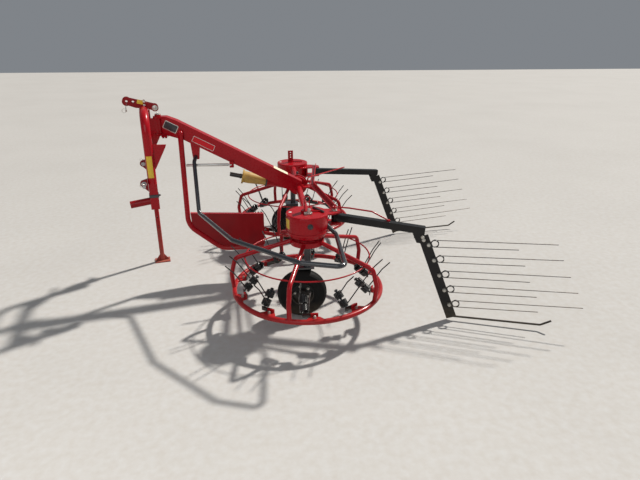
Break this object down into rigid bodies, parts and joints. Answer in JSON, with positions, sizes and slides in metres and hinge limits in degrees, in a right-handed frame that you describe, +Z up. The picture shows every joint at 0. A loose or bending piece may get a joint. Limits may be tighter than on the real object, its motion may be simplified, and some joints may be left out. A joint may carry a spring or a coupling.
{
  "type": "twin rotor hay rake",
  "caption": "Red mounted hay rake: two tined rotors under gearbox drums on a cross tube, boom with swinging headstock, rear gates with spring wire curtains, parked on its stand.",
  "frame": {"origin": "middle of the bounding box, on the ground the machine stands on", "axes": "+X towards the tractor, +Y to the machine's left, +Z up"},
  "size_m": [3.1704, 2.6947, 1.471],
  "materials": {
    "red_paint": "gloss",
    "dark_red_paint": "satin",
    "black_paint": "satin",
    "grey_paint": "satin",
    "bare_steel": "satin",
    "tine_steel": "satin",
    "rusty_wire": "rough",
    "yellow_plastic": "satin",
    "tyre_rubber": "matte"
  },
  "bodies": {
    "machine": {"boom": "red_paint", "pivot_lugs": "red_paint", "cross_tube": "red_paint", "centre_gearbox": "red_paint", "pto_guard": "yellow_plastic", "guard_tube": "red_paint", "guard_sheet": "dark_red_paint", "guard_brace": "bare_steel", "rail_bracket": "red_paint", "drum_left": "red_paint", "drum_right": "red_paint", "drum_bar_left": "red_paint", "drum_bar_right": "red_paint", "gate_bracket_left": "red_paint", "gate_bracket_right": "red_paint", "guard_rail": "grey_paint", "wheel_leg_left": "grey_paint", "wheel_leg_right": "grey_paint"},
    "headstock": {"headstock_hoop": "red_paint", "headstock_mast": "red_paint", "top_link_plates": "dark_red_paint", "lower_link_lugs": "dark_red_paint", "lower_link_pins": "bare_steel", "hitch_stub": "dark_red_paint", "stand_sleeve": "dark_red_paint"},
    "stand": {"parking_stand": "dark_red_paint"},
    "input_shaft": {"pto_shaft": "bare_steel"},
    "rotor_left": {"rotor_frame_left": "red_paint", "tines_left": "tine_steel"},
    "rotor_right": {"rotor_frame_right": "red_paint", "tines_right": "tine_steel"},
    "wheel_left": {"wheel_rim_left": "grey_paint", "tyre_left": "tyre_rubber"},
    "wheel_right": {"wheel_rim_right": "grey_paint", "tyre_right": "tyre_rubber"},
    "gate_left": {"gate_arm_left": "black_paint", "gate_curtain_left": "black_paint", "gate_springs_left": "rusty_wire"},
    "gate_right": {"gate_arm_right": "black_paint", "gate_curtain_right": "black_paint", "gate_springs_right": "rusty_wire"}
  },
  "joints": [
    {"name": "headstock_swing", "type": "hinge", "parent": "machine", "child": "headstock", "pos_m": [1.33463, -0.02259, 1.256], "axis": [0, 0, 1], "range_deg": [-37, 13]},
    {"name": "stand_slide", "type": "slide", "parent": "headstock", "child": "stand", "axis": [0, 0, 1], "range_m": [0, 0.45]},
    {"name": "rotor_left_turn", "type": "hinge", "parent": "machine", "child": "rotor_left", "pos_m": [0.28963, 0.72742, 0.6], "axis": [0, 0, 1], "continuous": true},
    {"name": "rotor_right_turn", "type": "hinge", "parent": "machine", "child": "rotor_right", "pos_m": [0.28963, -0.77258, 0.6], "axis": [0, 0, 1], "continuous": true},
    {"name": "input_shaft_turn", "type": "hinge", "parent": "machine", "child": "input_shaft", "pos_m": [0.58963, -0.11459, 0.78826], "axis": [0.9744, 0, 0.225], "continuous": true},
    {"name": "wheel_left_turn", "type": "hinge", "parent": "machine", "child": "wheel_left", "pos_m": [0.32963, 0.72742, 0.1765], "axis": [0, 1, 0], "continuous": true},
    {"name": "wheel_right_turn", "type": "hinge", "parent": "machine", "child": "wheel_right", "pos_m": [0.32963, -0.77258, 0.1765], "axis": [0, 1, 0], "continuous": true},
    {"name": "gate_left_swing", "type": "hinge", "parent": "machine", "child": "gate_left", "pos_m": [0.08963, 0.63741, 0.71], "axis": [0, 0, -1], "range_deg": [-40, 20]},
    {"name": "gate_right_swing", "type": "hinge", "parent": "machine", "child": "gate_right", "pos_m": [0.08963, -0.68258, 0.71], "axis": [0, 0, 1], "range_deg": [-27, 33]}
  ],
  "couplings": [
    {"joint": "rotor_right_turn", "follows": "rotor_left_turn", "ratio": -1},
    {"joint": "input_shaft_turn", "follows": "rotor_left_turn", "ratio": 3.2}
  ]
}
